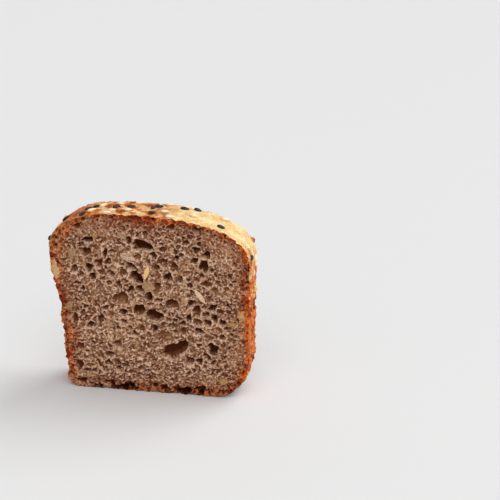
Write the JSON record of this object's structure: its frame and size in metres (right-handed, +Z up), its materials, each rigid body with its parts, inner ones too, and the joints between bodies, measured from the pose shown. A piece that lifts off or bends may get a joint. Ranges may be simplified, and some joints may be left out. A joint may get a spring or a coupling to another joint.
{
  "type": "multigrain bread slice",
  "caption": "Slice of seeded multigrain tin bread standing on its bottom crust, with an open crumb on both cut faces, a low dome and sesame on the top crust.",
  "frame": {"origin": "on the ground, under the middle of the slice", "axes": "+Z up, +Y from the front cut face to the back one, +X to the right of the front face"},
  "size_m": [0.1026, 0.02, 0.0979],
  "materials": {
    "bread": "matt brown crumb with a darker baked crust",
    "black_sesame": "satin black seed coat",
    "pale_sesame": "satin cream seed coat",
    "grain_flakes": "matt pale grain flakes in the crumb"
  },
  "bodies": {
    "root": {"slice": "bread"}
  },
  "joints": []
}
